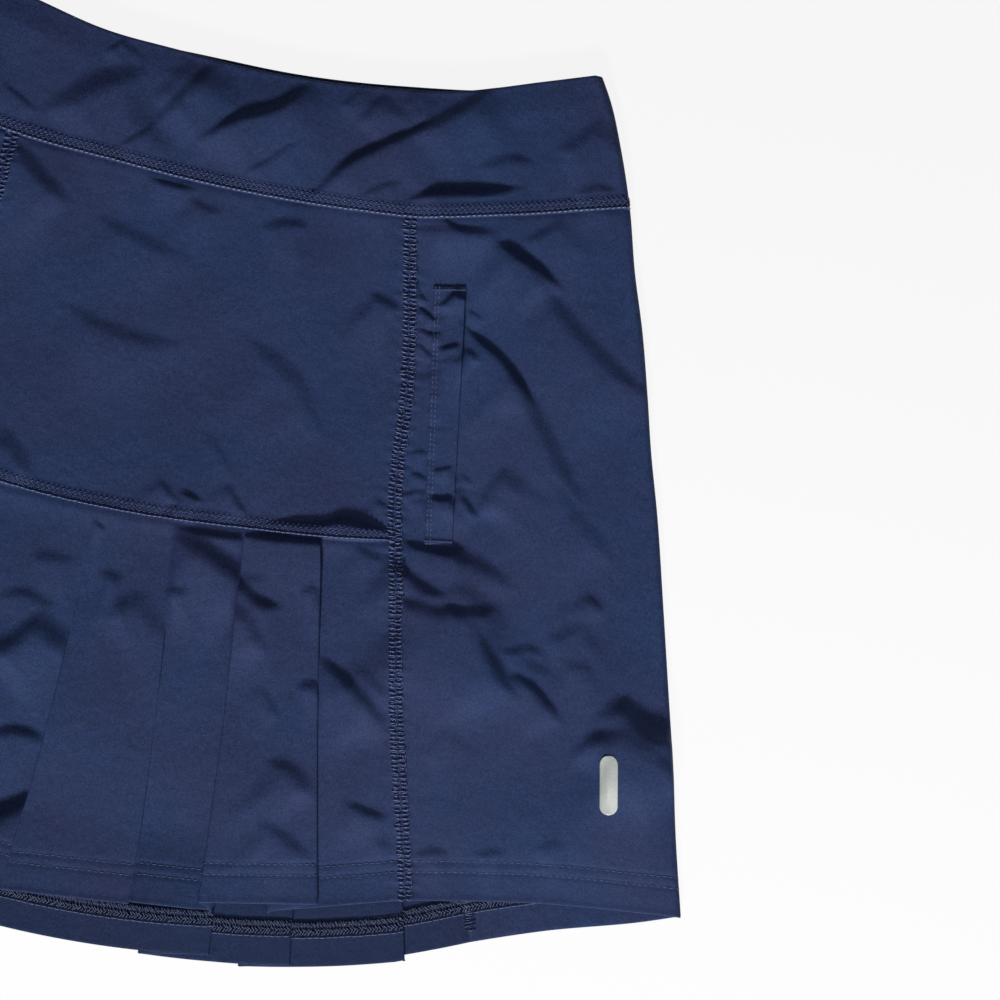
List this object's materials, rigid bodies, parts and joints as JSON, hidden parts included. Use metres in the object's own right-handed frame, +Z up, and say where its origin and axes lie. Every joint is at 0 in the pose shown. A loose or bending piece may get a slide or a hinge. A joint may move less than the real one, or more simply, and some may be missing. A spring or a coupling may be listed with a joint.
{
  "type": "tennis skort",
  "caption": "Navy woven tennis skort laid flat: wide contoured waistband, plain yoke, knife-pleated flounce front and back, side panels with welt pockets, and inner shorts.",
  "frame": {"origin": "On the surface the garment lies on, under the middle of its bounding box.", "axes": "+Z up, away from the surface; +Y from the hem to the waist; +X to the right as seen from above with the waist at the top."},
  "size_m": [0.616, 0.478, 0.0101],
  "materials": {
    "shell_cloth": "smooth navy woven polyester-elastane with a faint sheen",
    "shorts_knit": "matt navy stretch knit"
  },
  "bodies": {
    "root": {"waistband_front": "shell_cloth", "waistband_back": "shell_cloth", "front_yoke": "shell_cloth", "back_yoke": "shell_cloth", "side_panel_right": "shell_cloth", "side_panel_left": "shell_cloth", "front_flounce": "shell_cloth", "back_flounce": "shell_cloth", "pocket_welt_right": "shell_cloth", "pocket_welt_left": "shell_cloth", "shorts_leg_right": "shorts_knit", "shorts_leg_left": "shorts_knit"}
  },
  "joints": []
}
